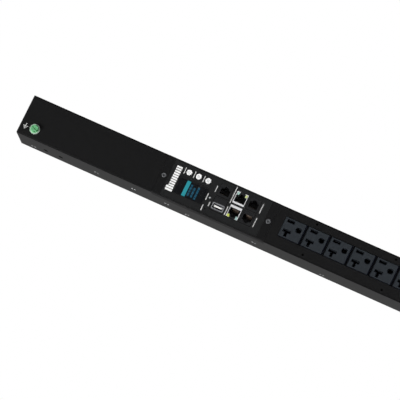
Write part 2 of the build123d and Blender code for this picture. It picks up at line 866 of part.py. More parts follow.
# Snap standoffs: a collar between tray and board, and a neck with a snap head through the board
all_standoffs = standoff_places(board_start, board_length)
all_standoffs += standoff_places(power_board_start, power_board_length)
with BuildPart() as board_standoffs:
    with BuildSketch(front_plane(board_depth + board)):
        with Locations(*all_standoffs):
            RegularPolygon(standoff_radius, 6)
    extrude(amount=standoff)
    with BuildSketch(front_plane(board_depth)):
        with Locations(*all_standoffs):
            RegularPolygon(standoff_neck, 6)
    extrude(amount=board)
    with BuildSketch(front_plane(board_depth)):
        with Locations(*all_standoffs):
            RegularPolygon(standoff_head, 6)
    extrude(amount=-standoff_snap)
board_standoffs.part.label = "board_standoffs"
export_step(board_standoffs.part, "parts/board_standoffs.step")

# Board tray: a folded plate behind both boards, clinched to the sides by its flanges
with BuildPart() as board_tray:
    with BuildSketch(end_plane(tray_end, 1)):
        with BuildLine():
            tray_x = seat_x - sheet / 2
            tray_y = tray_depth + sheet / 2 - body_depth
            FilletPolyline(
                (-tray_x, tray_y + tray_flange), (-tray_x, tray_y),
                (tray_x, tray_y), (tray_x, tray_y + tray_flange),
                radius=fold_radius - sheet / 2,
            )
        trace(line_width=sheet)
    extrude(amount=tray_end - tray_start)
    with BuildSketch(front_plane(tray_depth)):
        with Locations(*[(0, station) for station in bezel_screws_at]):
            shank_hole(bezel_screw_radius + screw_gap)
        with Locations((header_x, header_station)):
            Rectangle(header_width + 2 * window_gap, header_length + 2 * window_gap)
    extrude(amount=sheet, mode=Mode.SUBTRACT)
board_tray.part.label = "board_tray"
export_step(board_tray.part, "parts/board_tray.step")

# Outlets: each has a hot slot, a T slot for two kinds of neutral blade and an arched earth hole
outlet_number = 0
for bank in bank_starts:
    for station in outlet_stations(bank):
        outlet_number += 1
        with BuildPart() as outlet:
            with BuildSketch(front_plane(-outlet_proud)):
                with Locations((outlet_x, station)):
                    Rectangle(outlet_width, outlet_length)
            extrude(amount=shoulder_depth + outlet_proud)
            chamfer(outlet.faces().sort_by(Axis.Y)[0].edges(), outlet_edge)
            with BuildSketch(front_plane(shoulder_depth)):
                with Locations((outlet_x, station)):
                    Rectangle(outlet_body_width, outlet_length)
            extrude(amount=outlet_back_depth - shoulder_depth)
            with BuildSketch(front_plane(-outlet_proud)):
                with Locations((hot_x, station - slot_rise)):
                    Rectangle(slot_width, hot_length)
                with Locations((neutral_x, station - slot_rise)):
                    Rectangle(slot_width, neutral_length)
                with Locations((neutral_x - neutral_reach / 2, station - slot_rise)):
                    Rectangle(neutral_reach, slot_width)
                with Locations((ground_x, station + ground_drop)):
                    RegularPolygon(ground_width / 2, 12, major_radius=False, rotation=15)
                flat_length = ground_length - ground_width / 2
                with Locations((ground_x, station + ground_drop + flat_length / 2)):
                    Rectangle(ground_width, flat_length)
            extrude(amount=slot_depth, mode=Mode.SUBTRACT)
        name = f"outlet_{outlet_number:02d}"
        outlet.part.label = name
        export_step(outlet.part, f"parts/{name}.step")

# Outlet carriers: a plate with a window for each outlet, rails along both sides and screw posts
for name, bank in zip(("upper_outlet_carrier", "lower_outlet_carrier"), bank_starts):
    bank_middle = bank + bank_length / 2
    carrier_length = bank_length + 2 * carrier_margin
    pocket_x = outlet_body_width / 2 + seat_gap
    with BuildPart() as carrier:
        with BuildSketch(front_plane(plate_depth)):
            with Locations((0, bank_middle)):
                Rectangle(carrier_width, carrier_length)
            with Locations(*[(outlet_x, station) for station in outlet_stations(bank)]):
                cut_width = outlet_width + 2 * seat_gap
                Rectangle(cut_width, outlet_length + 2 * seat_gap, mode=Mode.SUBTRACT)
        extrude(amount=carrier_plate - plate_gap)
        with BuildSketch(front_plane(plate_depth)):
            with Locations((outlet_x, bank_middle)):
                with GridLocations(2 * pocket_x + rail, 1, 2, 1):
                    Rectangle(rail, carrier_length)
            with Locations(*carrier_posts(bank)):
                Rectangle(carrier_post, carrier_post)
        extrude(amount=rail_depth - plate_depth)
        with BuildSketch(front_plane(plate_depth)):
            with Locations((outlet_x, bank_middle)):
                Rectangle(2 * pocket_x, carrier_length)
                Rectangle(2 * pocket_x, bank_length - 2 * seat_gap, mode=Mode.SUBTRACT)
        extrude(amount=rail_depth - plate_depth)
    carrier.part.label = name
    export_step(carrier.part, f"parts/{name}.step")

# Bus bars: copper strips against the backs of the outlets, from the power board to the terminals
bars = {"live_bus_bar": (hot_x, bar_start), "neutral_bus_bar": (neutral_x, bar_start)}
bars["earth_bus_bar"] = (ground_x, top_section)
for name, (x, start) in bars.items():
    with BuildPart() as bus_bar:
        with BuildSketch(front_plane(outlet_back_depth)):
            with Locations((x, (start + terminal_start) / 2)):
                Rectangle(bar_width, terminal_start - start)
        extrude(amount=bar_thickness)
    bus_bar.part.label = name
    export_step(bus_bar.part, f"parts/{name}.step")

# Current sensor: a ring of rectangular section round the live bar
with BuildPart() as current_sensor:
    with BuildSketch(end_plane(bank_end + terminal_margin)):
        sensor_y = outlet_back_depth + bar_thickness / 2 - body_depth
        with Locations((hot_x, -sensor_y)):
            ring_width = bar_width + 2 * ring_gap
            ring_height = bar_thickness + 2 * ring_gap
            Rectangle(ring_width + sensor_wall, ring_height + 2 * sensor_wall)
            Rectangle(ring_width, ring_height, mode=Mode.SUBTRACT)
    extrude(amount=sensor_height)
current_sensor.part.label = "current_sensor"
export_step(current_sensor.part, "parts/current_sensor.step")

# Terminal block: it takes the three bars on top and has a hole for each conductor below
insulator_front = back_inner - insulator
terminal_middle = terminal_start + terminal_height / 2
terminal_width = header_width + 2 * sensor_wall
with BuildPart() as terminal_block:
    with BuildSketch(front_plane(terminal_front)):
        with Locations((header_x, terminal_middle)):
            Rectangle(terminal_width, terminal_height)
    extrude(amount=insulator_front - terminal_front)
    with BuildSketch(end_plane(terminal_start + terminal_height, 1)):
        for x in (hot_x, neutral_x, ground_x):
            with Locations((x, outlet_back_depth + bar_thickness / 2 - body_depth)):
                Rectangle(terminal_hole, terminal_hole)
    extrude(amount=terminal_hole_depth, mode=Mode.SUBTRACT)
terminal_block.part.label = "terminal_block"
export_step(terminal_block.part, "parts/terminal_block.step")

# Insulator: a sheet on the inside of the back, behind all live parts
insulator_end = terminal_start + terminal_height
with BuildPart() as insulator_sheet:
    with BuildSketch(front_plane(insulator_front)):
        with Locations((0, (top_section + insulator_end) / 2)):
            Rectangle(insulator_width, insulator_end - top_section)
        with Locations(*[(0, station) for station in stud_stations]):
            RegularPolygon(press_nut_radius + window_gap, 6, mode=Mode.SUBTRACT)
    extrude(amount=insulator)
insulator_sheet.part.label = "insulator_sheet"
export_step(insulator_sheet.part, "parts/insulator_sheet.step")

# Cord gland: body through the lower end cap, locknut inside, seal in its mouth and a cap nut below
gland_top = Plane(origin=(0, gland_y, -half_length), x_dir=(1, 0, 0), z_dir=(0, 0, -1))
with BuildPart() as gland_body:
    with BuildSketch(gland_top):
        RegularPolygon(gland_hex / 2, 6, major_radius=False)
    extrude(amount=gland_flange)
    with BuildSketch(gland_top.offset(gland_flange)):
        RegularPolygon(gland_neck_radius, gland_sides)
    extrude(amount=gland_neck)
    with BuildSketch(gland_top):
        RegularPolygon(gland_thread_radius, gland_sides)
    extrude(amount=-(sheet + locknut_height + overshoot))
    with BuildSketch(gland_top.offset(gland_flange + gland_neck)):
        RegularPolygon(gland_bore_radius, gland_sides)
    extrude(amount=-body_depth, mode=Mode.SUBTRACT)
    with BuildSketch(gland_top.offset(gland_flange + gland_neck)):
        RegularPolygon(seal_bore_radius + seal_wall + screw_gap, gland_sides)
    extrude(amount=-seal_height, mode=Mode.SUBTRACT)
gland_body.part.label = "gland_body"
export_step(gland_body.part, "parts/gland_body.step")

with BuildPart() as gland_locknut:
    with BuildSketch(gland_top.offset(-sheet)):
        RegularPolygon(locknut_hex / 2, 6, major_radius=False)
        RegularPolygon(gland_thread_radius + screw_gap, gland_sides, mode=Mode.SUBTRACT)
    extrude(amount=-locknut_height)
gland_locknut.part.label = "gland_locknut"
export_step(gland_locknut.part, "parts/gland_locknut.step")

with BuildPart() as gland_seal:
    with BuildSketch(gland_top.offset(gland_flange + gland_neck - seal_height)):
        RegularPolygon(seal_bore_radius + seal_wall, gland_sides)
        Circle(seal_bore_radius, mode=Mode.SUBTRACT)
    extrude(amount=seal_height)
gland_seal.part.label = "gland_seal"
export_step(gland_seal.part, "parts/gland_seal.step")

with BuildPart() as gland_cap_nut:
    nut_start = gland_flange + seat_gap
    with BuildSketch(gland_top.offset(nut_start)):
        RegularPolygon(cap_nut_hex / 2, 6, major_radius=False)
    extrude(amount=cap_nut_height)
    chamfer(gland_cap_nut.faces().sort_by(Axis.Z)[0].edges(), cap_nut_edge)
    with BuildSketch(gland_top.offset(nut_start)):
        RegularPolygon(gland_neck_radius + screw_gap, gland_sides)
    extrude(amount=gland_neck, mode=Mode.SUBTRACT)
    with BuildSketch(gland_top.offset(nut_start)):
        Circle(cap_nut_bore_radius)
    extrude(amount=cap_nut_height, mode=Mode.SUBTRACT)
gland_cap_nut.part.label = "gland_cap_nut"
export_step(gland_cap_nut.part, "parts/gland_cap_nut.step")
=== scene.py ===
"""Looks and stage for a rack power distribution unit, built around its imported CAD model.

Places on the bar are given as its maker would give them, in millimetres: across is +X as seen
from the front, station is the distance down from the top end, and depth is the distance behind
the front.
"""

import math

import bmesh
import bpy
import numpy as np
from mathutils import Matrix, Vector


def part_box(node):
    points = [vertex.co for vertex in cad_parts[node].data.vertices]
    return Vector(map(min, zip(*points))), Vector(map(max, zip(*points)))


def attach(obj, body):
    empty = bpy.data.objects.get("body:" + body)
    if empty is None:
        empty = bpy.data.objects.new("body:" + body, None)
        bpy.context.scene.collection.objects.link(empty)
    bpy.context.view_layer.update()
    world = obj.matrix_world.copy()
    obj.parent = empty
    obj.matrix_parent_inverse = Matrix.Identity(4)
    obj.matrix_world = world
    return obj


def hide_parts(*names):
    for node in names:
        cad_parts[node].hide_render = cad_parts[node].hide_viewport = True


bl_info = {
    "name": "Rack power distribution unit",
    "version": (1, 0, 0),
    "blender": (4, 5, 0),
    "location": "View3D > Sidebar > Power unit",
    "description": "Dresses the packed power distribution unit and sets its stage",
    "category": "Object",
}

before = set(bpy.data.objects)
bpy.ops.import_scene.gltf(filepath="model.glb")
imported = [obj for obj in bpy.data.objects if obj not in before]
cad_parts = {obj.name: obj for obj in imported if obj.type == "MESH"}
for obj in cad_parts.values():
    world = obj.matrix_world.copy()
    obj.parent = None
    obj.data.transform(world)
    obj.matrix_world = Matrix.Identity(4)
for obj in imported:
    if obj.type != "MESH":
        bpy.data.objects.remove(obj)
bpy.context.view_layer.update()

MM = 0.001
bar_low, bar_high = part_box("front_channel")
TOP = bar_high.z
FRONT = bar_low.y
HALF_WIDTH = bar_high.x / MM
LENGTH = (TOP - bar_low.z) / MM

# Radius of the small flat that closes a turned form at its axis
POLE = 0.1
# Specular level of a plain surface, and of what dries or is moulded duller
PLAIN_LEVEL, BEND_LEVEL, SKIRT_LEVEL = 0.5, 0.1, 0.09
# Bracket holes: stations from either end of the bar, and their depth
BRACKET_STATIONS = np.array([35.9, 56.1])
BRACKET_DEPTH = 31.6

def linear(code):
    """An sRGB hex colour as linear red, green and blue."""
    srgb = [int(code[i : i + 2], 16) / 255 for i in (1, 3, 5)]
    return tuple(c / 12.92 if c <= 0.04045 else ((c + 0.055) / 1.055) ** 2.4 for c in srgb)


def middle_of(node):
    """Across, station and front depth of a CAD node, in millimetres."""
    low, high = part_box(node)
    across = (low.x + high.x) / 2 / MM
    station = (TOP - (low.z + high.z) / 2) / MM
    return across, station, (low.y - FRONT) / MM


def size_of(node):
    """Width across and length along the bar of a CAD node, in millimetres."""
    low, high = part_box(node)
    return np.array([(high.x - low.x) / MM, (high.z - low.z) / MM])


# Sides of the bar that round marks lie on: the directions right, up and out as a viewer sees them
LEFT_FACE = np.array([(0, -1, 0), (0, 0, 1), (-1, 0, 0)], float)
RIGHT_FACE = np.array([(0, 1, 0), (0, 0, 1), (1, 0, 0)], float)


def on_front(flat, depth):
    """Flat points (across, station) at a depth, as points in metres."""
    across, station = flat[..., 0], flat[..., 1]
    depth = np.broadcast_to(depth, across.shape)
    return np.stack([across * MM, FRONT + depth * MM, TOP - station * MM], -1)


def rounded_outline(middles, sizes, radius, steps=3):
    """Outlines of rounded rectangles, counter-clockwise for a viewer in front.

    Each corner is a quarter circle: its centre is the half size less the radius, and the angle runs
    through a right angle in even steps. The station grows downwards, so its sign is turned.
    """
    middles, sizes = np.atleast_2d(middles).astype(float), np.atleast_2d(sizes).astype(float)
    angle = np.concatenate([np.linspace(0, 0.5, steps + 1) + 0.5 * i for i in range(4)]) * math.pi
    sign_x = np.repeat([1, -1, -1, 1], steps + 1)
    sign_y = np.repeat([1, 1, -1, -1], steps + 1)
    half = sizes[:, None, :] / 2 - radius
    x = sign_x * half[..., 0] + radius * np.cos(angle)
    y = sign_y * half[..., 1] + radius * np.sin(angle)
    return middles[:, None, :] + np.stack([x, -y], -1)


def round_outline(middles, radius, steps=20):
    """Circles about the middles: cosine and sine of one even turn, times the radius."""
    middles = np.atleast_2d(middles).astype(float)
    turn = np.linspace(0, 2 * math.pi, steps, endpoint=False)
    return middles[:, None, :] + radius * np.stack([np.cos(turn), -np.sin(turn)], -1)


def loft(name, rings, material, ring_closed=False):
    """Solids whose skin runs from ring to ring, as one mesh.

    rings is (solids, rings, points, 3). Point j of ring i joins point j of ring i + 1, so the skin
    is a grid of two parameters: along the rings and round them. The end rings are closed by flat
    faces, or joined to each other where ring_closed is set.
    """
    solids, count, points, _ = rings.shape
    grid = np.arange(count * points).reshape(count, points)
    following = np.roll(grid, -1, axis=0) if ring_closed else grid[1:]
    here = grid if ring_closed else grid[:-1]
    quads = np.stack(
        [here, following, np.roll(following, -1, axis=1), np.roll(here, -1, axis=1)], -1
    ).reshape(-1, 4)
    faces = quads.tolist()
    if not ring_closed:
        faces += [grid[0].tolist(), grid[-1][::-1].tolist()]
    starts = np.arange(solids) * count * points
    all_faces = [[v + int(start) for v in face] for start in starts for face in faces]
    mesh = bpy.data.meshes.new(name)
    mesh.from_pydata(rings.reshape(-1, 3).tolist(), [], all_faces)
    mesh.materials.append(material)
    piece = bpy.data.objects.new(name, mesh)
    bpy.context.scene.collection.objects.link(piece)
    return piece


def printed_bars(name, middles, sizes, depth, ink, material, radius=0.12):
    """Thin bars of ink on the front: a rounded outline at the ink's face and again at its foot."""
    outline = rounded_outline(middles, sizes, radius)
    rings = np.stack([on_front(outline, depth - ink), on_front(outline, depth)], 1)
    return loft(name, rings, material)


def rims(name, outer, inner, depth, ink, material):
    """Thin flat rings: the skin of a low square profile carried round two matching outlines."""
    rings = [on_front(inner, depth - ink), on_front(outer, depth - ink),
             on_front(outer, depth), on_front(inner, depth)]
    return loft(name, np.stack(rings, 1), material, ring_closed=True)


def turned(name, middles, profile, material, steps=32):
    """Round solids whose axes point out of the front, one about each middle.

    The profile lists radius and depth from the front's middle to the back's, and the cosine and
    sine of one turn carry it round.
    """
    rings = [on_front(round_outline(middles, radius, steps), depth) for radius, depth in profile]
    return loft(name, np.stack(rings, 1), material)


def side_rings(face, middles, radii, outs, steps=16):
    """Circles on a side of the bar, in metres.

    middles are (depth, station) places. Each circle is a radius times the cosine and sine of one
    turn, at its own distance out from the middle of the bar.
    """
    middles = np.asarray(middles, float)
    turn = np.linspace(0, 2 * math.pi, steps, endpoint=False)
    radii, outs = np.asarray(radii, float)[:, None], np.asarray(outs, float)[:, None]
    flat = np.stack([radii * np.cos(turn), radii * np.sin(turn), outs + 0 * turn], -1) @ face
    centres = np.zeros((len(middles), 1, 1, 3))
    centres[..., 1] = (FRONT / MM + middles[:, 0])[:, None, None]
    centres[..., 2] = (TOP / MM - middles[:, 1])[:, None, None]
    return (centres + flat) * MM


def settle(piece, body="chassis"):
    """Lets a finished piece ride on a body."""
    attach(piece, body)


def add_node(tree, kind, settings=(), links=()):
    """Adds a shader node, sets its properties and socket values, and links sockets to it.

    settings are (name, value) pairs: a property of the node, or else an input socket. links are
    (input name, output socket) pairs.
    """
    node = tree.nodes.new(kind)
    for name, value in settings:
        if isinstance(name, str) and hasattr(node, name):
            setattr(node, name, value)
        else:
            node.inputs[name].default_value = value
    for name, output in links:
        tree.links.new(output, node.inputs[name])
    return node


def new_finish(name, colour, roughness, metallic=0.0, **sockets):
    """A material with one Principled shader, and the shader itself."""
    material = bpy.data.materials.new(name)
    material.use_nodes = True
    shader = material.node_tree.nodes["Principled BSDF"]
    shader.inputs["Base Color"].default_value = (*colour[:3], 1)
    shader.inputs["Roughness"].default_value = roughness
    shader.inputs["Metallic"].default_value = metallic
    for socket, value in sockets.items():
        shader.inputs[socket.replace("_", " ")].default_value = value
    return material, shader


def grain(material, shader, size, height):
    """Roughens a surface with noise whose grains have a real size in millimetres."""
    tree = material.node_tree
    place = add_node(tree, "ShaderNodeTexCoord")
    noise = add_node(
        tree,
        "ShaderNodeTexNoise",
        [("Scale", 1 / (size * MM)), ("Detail", 2.0)],
        [("Vector", place.outputs["Object"])],
    )
    bump = add_node(
        tree,
        "ShaderNodeBump",
        [("Strength", 1.0), ("Distance", height * MM)],
        [("Height", noise.outputs["Fac"])],
    )
    tree.links.new(bump.outputs["Normal"], shader.inputs["Normal"])


def brushing(material, shader, spacing, height):
    """Fine marks along the bar: noise at a real spacing across them, forty times longer along."""
    tree = material.node_tree
    fine = 1 / (spacing * MM)
    scale = (fine, fine, fine / 40)
    place = add_node(tree, "ShaderNodeTexCoord")
    stretch = add_node(
        tree, "ShaderNodeMapping", [("Scale", scale)], [("Vector", place.outputs["Object"])]
    )
    noise = add_node(
        tree,
        "ShaderNodeTexNoise",
        [("Scale", 1.0), ("Detail", 1.0)],
        [("Vector", stretch.outputs["Vector"])],
    )
    bump = add_node(
        tree,
        "ShaderNodeBump",
        [("Strength", 1.0), ("Distance", height * MM)],
        [("Height", noise.outputs["Fac"])],
    )
    tree.links.new(bump.outputs["Normal"], shader.inputs["Normal"])


def paint(material, *nodes):
    """Gives CAD nodes a material in place of the one that they came with."""
    for node in nodes:
        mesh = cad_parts[node].data
        mesh.materials.clear()
        mesh.materials.append(material)


class UnitColours(bpy.types.PropertyGroup):
    """Colours of the unit's finishes."""

    powder_coat: bpy.props.FloatVectorProperty(
        name="Powder coat", description="Black coat on the steel", subtype="COLOR",
        default=linear("#070708"), min=0, max=1,
    )
    bezel: bpy.props.FloatVectorProperty(
        name="Bezel", description="Moulded cap round the controls", subtype="COLOR",
        default=linear("#0a0a0b"), min=0, max=1,
    )
    overlay: bpy.props.FloatVectorProperty(
        name="Overlay", description="Film over the middle of the bezel", subtype="COLOR",
        default=linear("#131415"), min=0, max=1,
    )
    outlet: bpy.props.FloatVectorProperty(
        name="Outlet", description="Moulded outlet bodies", subtype="COLOR",
        default=linear("#272c31"), min=0, max=1,
    )
    earth: bpy.props.FloatVectorProperty(
        name="Earth green", description="Green coat on the earth screw", subtype="COLOR",
        default=linear("#7ac88f"), min=0, max=1,
    )
    ink: bpy.props.FloatVectorProperty(
        name="White ink", description="Printing on the bar and the bezel", subtype="COLOR",
        default=linear("#f6f6f5"), min=0, max=1,
    )
    thin_ink: bpy.props.FloatVectorProperty(
        name="Thin ink", description="Small dashes on the bezel", subtype="COLOR",
        default=linear("#cfcfce"), min=0, max=1,
    )
    screen: bpy.props.FloatVectorProperty(
        name="Screen", description="Lit background of the display", subtype="COLOR",
        default=linear("#06070b"), min=0, max=1,
    )
    screen_bar: bpy.props.FloatVectorProperty(
        name="Screen bar", description="Bright bar on the display", subtype="COLOR",
        default=linear("#2a8f9b"), min=0, max=1,
    )
    screen_text: bpy.props.FloatVectorProperty(
        name="Screen rows", description="Dim rows on the display", subtype="COLOR",
        default=linear("#164e66"), min=0, max=1,
    )


class UnitSizes(bpy.types.PropertyGroup):
    """Sizes of the printing and the small marks."""

    ink: bpy.props.FloatProperty(
        name="Ink", description="Thickness of the printing", unit="LENGTH", default=0.03 * MM
    )
    title_pitch: bpy.props.FloatProperty(
        name="Title pitch", description="Pitch of the bars above the display", unit="LENGTH",
        default=3.05 * MM,
    )
    title_height: bpy.props.FloatProperty(
        name="Title height", description="Length of those bars along the unit", unit="LENGTH",
        default=7.0 * MM,
    )
    label_height: bpy.props.FloatProperty(
        name="Dash height", description="Height of the small dashes", unit="LENGTH",
        default=1.1 * MM,
    )
    # Radius of each clinch dome, whose pale colour paints the glint that it catches
    clinch_glint: bpy.props.FloatProperty(
        name="Clinch glint", description="Radius of the painted glint on a clinch mark",
        unit="LENGTH", default=1.25 * MM,
    )


class StageSettings(bpy.types.PropertyGroup):
    """Where the camera stands and how the stage is lit."""

    azimuth: bpy.props.FloatProperty(
        name="Azimuth", description="Camera's direction round the unit", subtype="ANGLE",
        default=math.radians(-11.59102),
    )
    elevation: bpy.props.FloatProperty(
        name="Elevation", description="Camera's height above the horizon", subtype="ANGLE",
        default=math.radians(-10.44856),
    )
    lens: bpy.props.FloatProperty(
        name="Lens", description="Focal length in millimetres on a 36 mm sensor", default=346.818
    )
    room: bpy.props.FloatProperty(
        name="Room light", description="Brightness of the room that the unit reflects",
        default=0.1,
    )
    floor_drop: bpy.props.FloatProperty(
        name="Floor", description="Floor's depth under the middle of the unit", unit="LENGTH",
        default=1.2,
    )


def colours():
    return bpy.context.scene.unit_colours


def sizes():
    return bpy.context.scene.unit_sizes


class DressSteel(bpy.types.Operator):
    """Coats the folded steel of the bar and finishes its nuts, buttons and screws"""

    bl_idname = "unit.dress_steel"
    bl_label = "Coat the steel"

    def execute(self, context):
        # Fine textured polyester powder coat: matt black with a faint sparkle of its grain. The
        # real grain is about 0.3 mm; it is drawn at 0.8 mm, so that it doesn't shimmer.
        coat, shader = new_finish("textured_powder_coat", colours().powder_coat, 0.4, IOR=1.5)
        grain(coat, shader, 0.8, 0.012)
        self.dull_bends(coat.node_tree, shader)
        paint(coat, "front_channel", "back_plate", "back_strip_left", "back_strip_right")
        paint(coat, "top_end_cap", "bottom_end_cap")
        # Zinc plated steel with clear passivation: pale grey, faintly blue, slightly clouded. The
        # real clouding is too fine to show, so it is drawn at 1.2 mm.
        zinc, shader = new_finish("zinc_plated_steel", linear("#c3c6cb"), 0.34, 1.0)
        grain(zinc, shader, 1.2, 0.01)
        paint(zinc, "press_nuts", "mounting_buttons", "board_tray")
        # Tinned washer under the earth screw: pale and matt
        tinned, _ = new_finish("tinned_washer", linear("#b0c2b4"), 0.5, 0.2)
        paint(tinned, "earth_washer")
        # Black oxide on steel screws: near black with a soft shine of the metal
        oxide, _ = new_finish("black_oxide_steel", linear("#68696c"), 0.5, 0.4)
        low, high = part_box("bezel_screws")
        radius = (high.x - low.x) / MM / 2
        stations = [(TOP - high.z) / MM + radius, (TOP - low.z) / MM - radius]
        # Socket heads: a round key hole, a flat ring and a small rounding, then the shank
        key, head, shank = 1.2, 2.85, 1.65
        key_depth, head_depth = 1.1, 1.5
        profile = [
            (POLE, key_depth), (key, key_depth), (key + 0.15, 0.1), (key + 0.3, 0.02),
            (head - 0.25, 0.02), (head, 0.2), (head, head_depth), (shank, head_depth),
            (shank, (high.y - FRONT) / MM),
        ]
        heads = turned("bezel_screw_heads", [(0, station) for station in stations], profile, oxide)
        settle(heads)
        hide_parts("bezel_screws")
        self.bores()
        return {"FINISHED"}

    def dull_bends(self, tree, shader):
        """Dulls the coat along the two front bends, which show no bright line on the real one.

        The specular level is a map of the distance from the line where front and side would meet.
        It is taken in the plane across the bar: the Object coordinate without its Z and its sign.
        """
        place = add_node(tree, "ShaderNodeTexCoord")
        unsigned = add_node(
            tree, "ShaderNodeVectorMath", [("operation", "ABSOLUTE")],
            [(0, place.outputs["Object"])],
        )
        across = add_node(
            tree, "ShaderNodeVectorMath", [("operation", "MULTIPLY"), (1, (1, 1, 0))],
            [(0, unsigned.outputs[0])],
        )
        corner = (HALF_WIDTH * MM, abs(FRONT), 0)
        away = add_node(
            tree, "ShaderNodeVectorMath", [("operation", "DISTANCE"), (1, corner)],
            [(0, across.outputs[0])],
        )
        level = add_node(
            tree, "ShaderNodeMapRange",
            [(1, 1.2 * MM), (2, 1.9 * MM), (3, BEND_LEVEL), (4, PLAIN_LEVEL)],
            [(0, away.outputs["Value"])],
        )
        tree.links.new(level.outputs[0], shader.inputs["Specular IOR Level"])

    def bores(self):
        """Painted shade at the bracket holes: dead-black sleeves that line the bores, each with a
        thin rim that paints a dark ring on the coat round the hole.

        The profile of a sleeve runs from its bore over the rim and back along its outside.
        """
        # Painted shade: dead black and without shine, so that each hole and the ring round it read
        # as deep and dark
        bore_shade_paint, _ = new_finish("painted_bore_shade", linear("#030303"), 0.9, IOR=1.1)
        stations = np.concatenate([BRACKET_STATIONS, LENGTH - BRACKET_STATIONS[::-1]])
        middles = [(BRACKET_DEPTH, station) for station in stations]
        bore, outside, rim = 1.2, 2.05, 2.9
        thickness, reach = 0.03, 3.4
        radii = (bore, rim, rim, outside, outside, bore)
        outs = HALF_WIDTH + np.array([thickness, thickness, 0, 0, -reach, -reach])
        sleeves = [side_rings(face, middles, radii, outs) for face in (LEFT_FACE, RIGHT_FACE)]
        piece = loft("bracket_bore_shades", np.concatenate(sleeves), bore_shade_paint, ring_closed=True)
        settle(piece)


class DressEarth(bpy.types.Operator):
    """Colours the earth screw and prints the earth sign beside it"""

    bl_idname = "unit.dress_earth"
    bl_label = "Earth screw and sign"

    def execute(self, context):
        # Green dyed zinc: a bright metallic green, lighter where its edges catch the light
        green, shader = new_finish("green_dyed_zinc", colours().earth, 0.38, 0.35)
        grain(green, shader, 0.9, 0.01)
        paint(green, "earth_screw")
        # The CAD screw, turned about its axis to where the photographed one's slot stopped. A copy
        # of a CAD mesh is loose triangles, so its doubles are merged first.
        low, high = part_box("earth_screw")
        axis_point = (low + high) / 2
        turn = Matrix.Rotation(math.radians(68), 4, (0, -1, 0))
        solid = bmesh.new()
        solid.from_mesh(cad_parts["earth_screw"].data)
        bmesh.ops.remove_doubles(solid, verts=solid.verts, dist=0.001 * MM)
        solid.transform(Matrix.Translation(axis_point) @ turn @ Matrix.Translation(-axis_point))
        mesh = bpy.data.meshes.new("earth_screw_turned")
        solid.to_mesh(mesh)
        solid.free()
        mesh.materials.append(green)
        head = bpy.data.objects.new("earth_screw_turned", mesh)
        bpy.context.scene.collection.objects.link(head)
        settle(head)
        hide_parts("earth_screw")
        # White epoxy ink on the coat: matt and a little greyed by the grain under it
        ink, _ = new_finish("white_epoxy_ink", colours().thin_ink, 0.55)
        across, station, _ = middle_of("earth_screw")
        # The sign: a stem, then three bars that grow shorter, drawn along the unit
        sign_station, sign_across = station - 12.3, across - 0.5
        middles = [(sign_across + 2.0, sign_station)]
        bar_sizes = [(3.4, 0.8)]
        for step, length in enumerate((6.0, 4.0, 2.0)):
            middles.append((sign_across - 0.1 - 1.55 * step, sign_station))
            bar_sizes.append((0.75, length))
        thickness = sizes().ink / MM
        settle(printed_bars("earth_sign", middles, bar_sizes, 0, thickness, ink))
        return {"FINISHED"}


class DressBezel(bpy.types.Operator):
    """Finishes the bezel, its film, the buttons and the status light"""

    bl_idname = "unit.dress_bezel"
    bl_label = "Bezel and buttons"

    def execute(self, context):
        # Moulded ABS with a fine spark-eroded skin: black, softer sheen than the coat. The real
        # texture is near 0.1 mm and is drawn at 0.5 mm.
        skin, shader = new_finish("eroded_abs", colours().bezel, 0.38, IOR=1.5)
        grain(skin, shader, 0.5, 0.006)
        self.dull_skirt(skin.node_tree, shader)
        paint(skin, "controller_bezel")
        # Printed polyester film: charcoal, fine velvet face
        film, shader = new_finish("printed_polyester", colours().overlay, 0.4, IOR=1.57)
        grain(film, shader, 0.6, 0.003)
        paint(film, "control_overlay")
        # Moulded white ABS: plain, slightly glossy
        white, _ = new_finish("white_abs", linear("#ffffff"), 0.35, IOR=1.53)
        # Grey pad-printed ink: a faint ring on each button
        grey, _ = new_finish("grey_pad_ink", linear("#b4b7ba"), 0.5)
        rim, flange, stem = 3.45, 4.75, 1.6
        flange_front, flange_back = 2.4, 3.3
        for node in ("upper_button", "middle_button", "lower_button"):
            across, station, depth = middle_of(node)
            back = (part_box(node)[1].y - FRONT) / MM
            # The cap: a shallow dish inside a rounded rim, then the flange and the stem behind it
            profile = [
                (POLE, depth + 0.25), (rim - 1.85, depth + 0.25), (rim - 1.15, depth + 0.12),
                (rim - 0.65, depth), (rim - 0.35, depth + 0.03), (rim - 0.1, depth + 0.2),
                (rim, depth + 0.5), (rim, flange_front), (flange, flange_front),
                (flange, flange_back), (stem, flange_back), (stem, back),
            ]
            cap = turned(f"{node}_cap", (across, station), profile, white)
            settle(cap, f"{node}_key")
            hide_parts(node)
            outer = round_outline((across, station), 1.35)
            inner = round_outline((across, station), 0.9)
            ring = rims(f"{node}_mark", outer, inner, depth + 0.27, 0.05, grey)
            settle(ring, f"{node}_key")
        # Clear acrylic light pipe, lit from the board: a pale dot with the faintest glow
        pipe, _ = new_finish(
            "lit_acrylic", linear("#b9bdbf"), 0.3, Emission_Strength=0.05,
            Emission_Color=(*linear("#f4f8fa"), 1),
        )
        paint(pipe, "status_light")
        return {"FINISHED"}

    def dull_skirt(self, tree, shader):
        """Dulls the bezel's sides, which a mould textures more coarsely so that they come free.

        The specular level is a map of the distance from the middle plane, which the Object
        coordinate's X gives in metres.
        """
        place = add_node(tree, "ShaderNodeTexCoord")
        axes = add_node(tree, "ShaderNodeSeparateXYZ", [], [(0, place.outputs["Object"])])
        distance = add_node(
            tree, "ShaderNodeMath", [("operation", "ABSOLUTE")], [(0, axes.outputs["X"])]
        )
        edge = HALF_WIDTH * MM
        level = add_node(
            tree, "ShaderNodeMapRange",
            [(1, edge - 0.6 * MM), (2, edge - 0.2 * MM), (3, PLAIN_LEVEL), (4, SKIRT_LEVEL)],
            [(0, distance.outputs[0])],
        )
        tree.links.new(level.outputs[0], shader.inputs["Specular IOR Level"])


